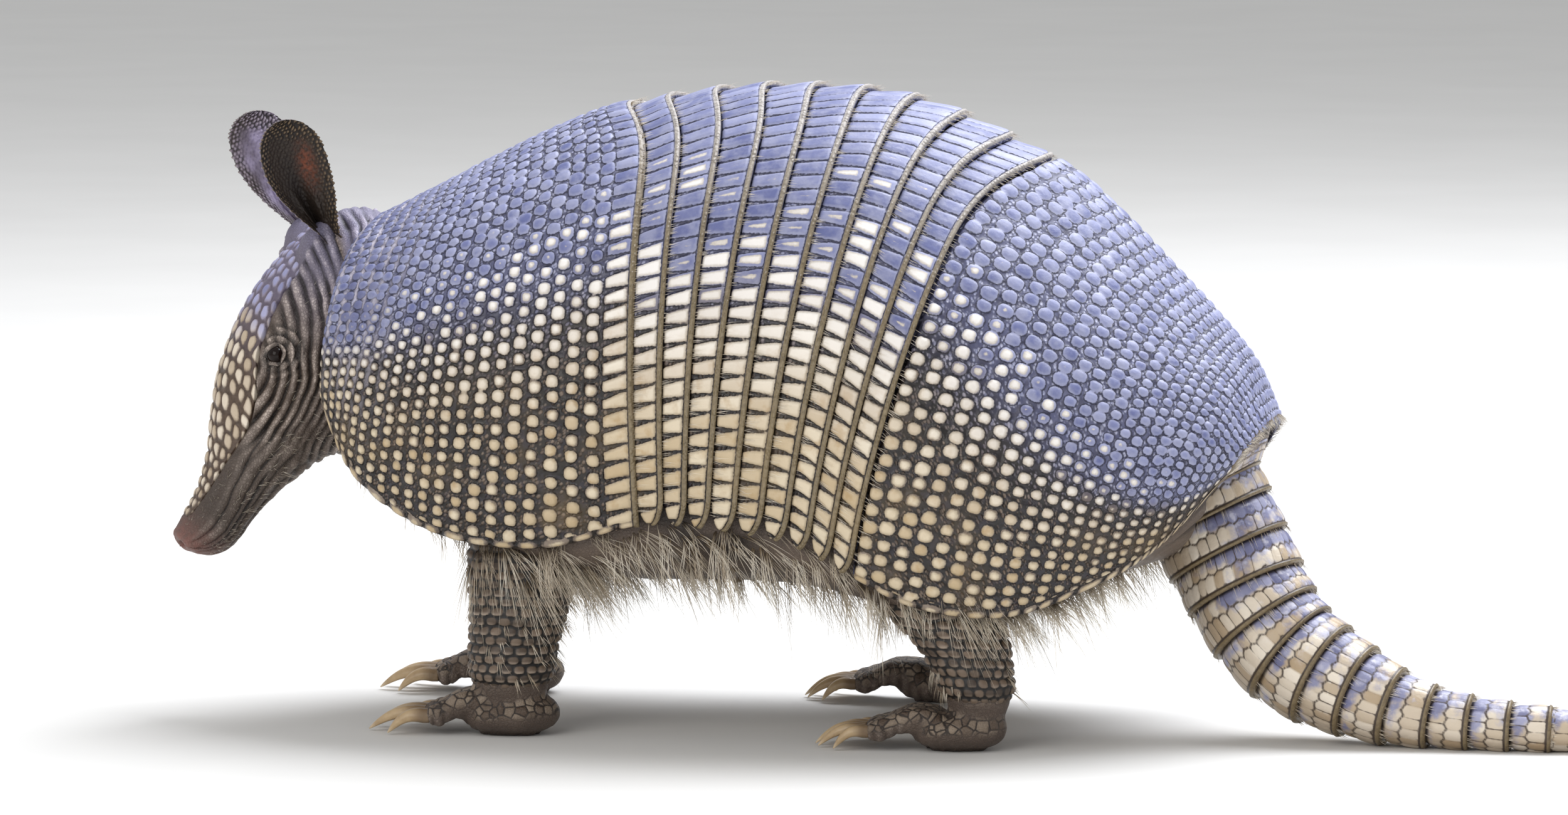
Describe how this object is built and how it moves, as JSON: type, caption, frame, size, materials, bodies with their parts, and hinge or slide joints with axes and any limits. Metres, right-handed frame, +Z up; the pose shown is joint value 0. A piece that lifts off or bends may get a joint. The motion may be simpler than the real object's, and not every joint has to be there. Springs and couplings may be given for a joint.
{
  "type": "nine-banded armadillo model",
  "caption": "Life-size still model of a walking armadillo: scaly banded shell, lowered head, upright ears, ringed tail on the floor.",
  "frame": {"origin": "on the floor, under the middle of the whole model's bounding box", "axes": "+X from the head towards the tail, +Y to the animal's right side, +Z up"},
  "size_m": [0.6256, 0.1662, 0.2143],
  "materials": {
    "shell": "horny bone plates, slate blue-grey above, cream scutes on the flanks",
    "bands": "horny overlapping bands, slate above, cream plates below, olive rims",
    "head_plates": "flat cream plates with dark joints",
    "skin": "brown wrinkled skin with sparse pale hair",
    "leg_skin": "brown skin with rows of small pale scales",
    "ears": "thin pebbly skin",
    "eyes": "wet dark eye",
    "claws": "pale horn",
    "tail": "horny rings of cream and slate scales"
  },
  "bodies": {
    "root": {"shoulder_shield": "shell", "band_1": "bands", "band_2": "bands", "band_3": "bands", "band_4": "bands", "band_5": "bands", "band_6": "bands", "band_7": "bands", "band_8": "bands", "band_9": "bands", "hip_shield": "shell", "trunk": "skin", "head": "skin", "head_shield": "head_plates", "ear_left": "ears", "ear_right": "ears", "eye_left": "eyes", "eye_right": "eyes", "neck": "skin", "leg_front_left": "leg_skin", "foot_front_left": "leg_skin", "claw_front_left_1": "claws", "claw_front_left_2": "claws", "claw_front_left_3": "claws", "claw_front_left_4": "claws", "leg_front_right": "leg_skin", "foot_front_right": "leg_skin", "claw_front_right_1": "claws", "claw_front_right_2": "claws", "claw_front_right_3": "claws", "claw_front_right_4": "claws", "leg_hind_left": "leg_skin", "foot_hind_left": "leg_skin", "claw_hind_left_1": "claws", "claw_hind_left_2": "claws", "claw_hind_left_3": "claws", "claw_hind_left_4": "claws", "claw_hind_left_5": "claws", "leg_hind_right": "leg_skin", "foot_hind_right": "leg_skin", "claw_hind_right_1": "claws", "claw_hind_right_2": "claws", "claw_hind_right_3": "claws", "claw_hind_right_4": "claws", "claw_hind_right_5": "claws", "tail_ring_1": "tail", "tail_ring_2": "tail", "tail_ring_3": "tail", "tail_ring_4": "tail", "tail_ring_5": "tail", "tail_ring_6": "tail", "tail_ring_7": "tail", "tail_ring_8": "tail", "tail_ring_9": "tail", "tail_ring_10": "tail", "tail_ring_11": "tail", "tail_ring_12": "tail", "tail_whip": "tail", "tail_tip": "tail"}
  },
  "joints": []
}
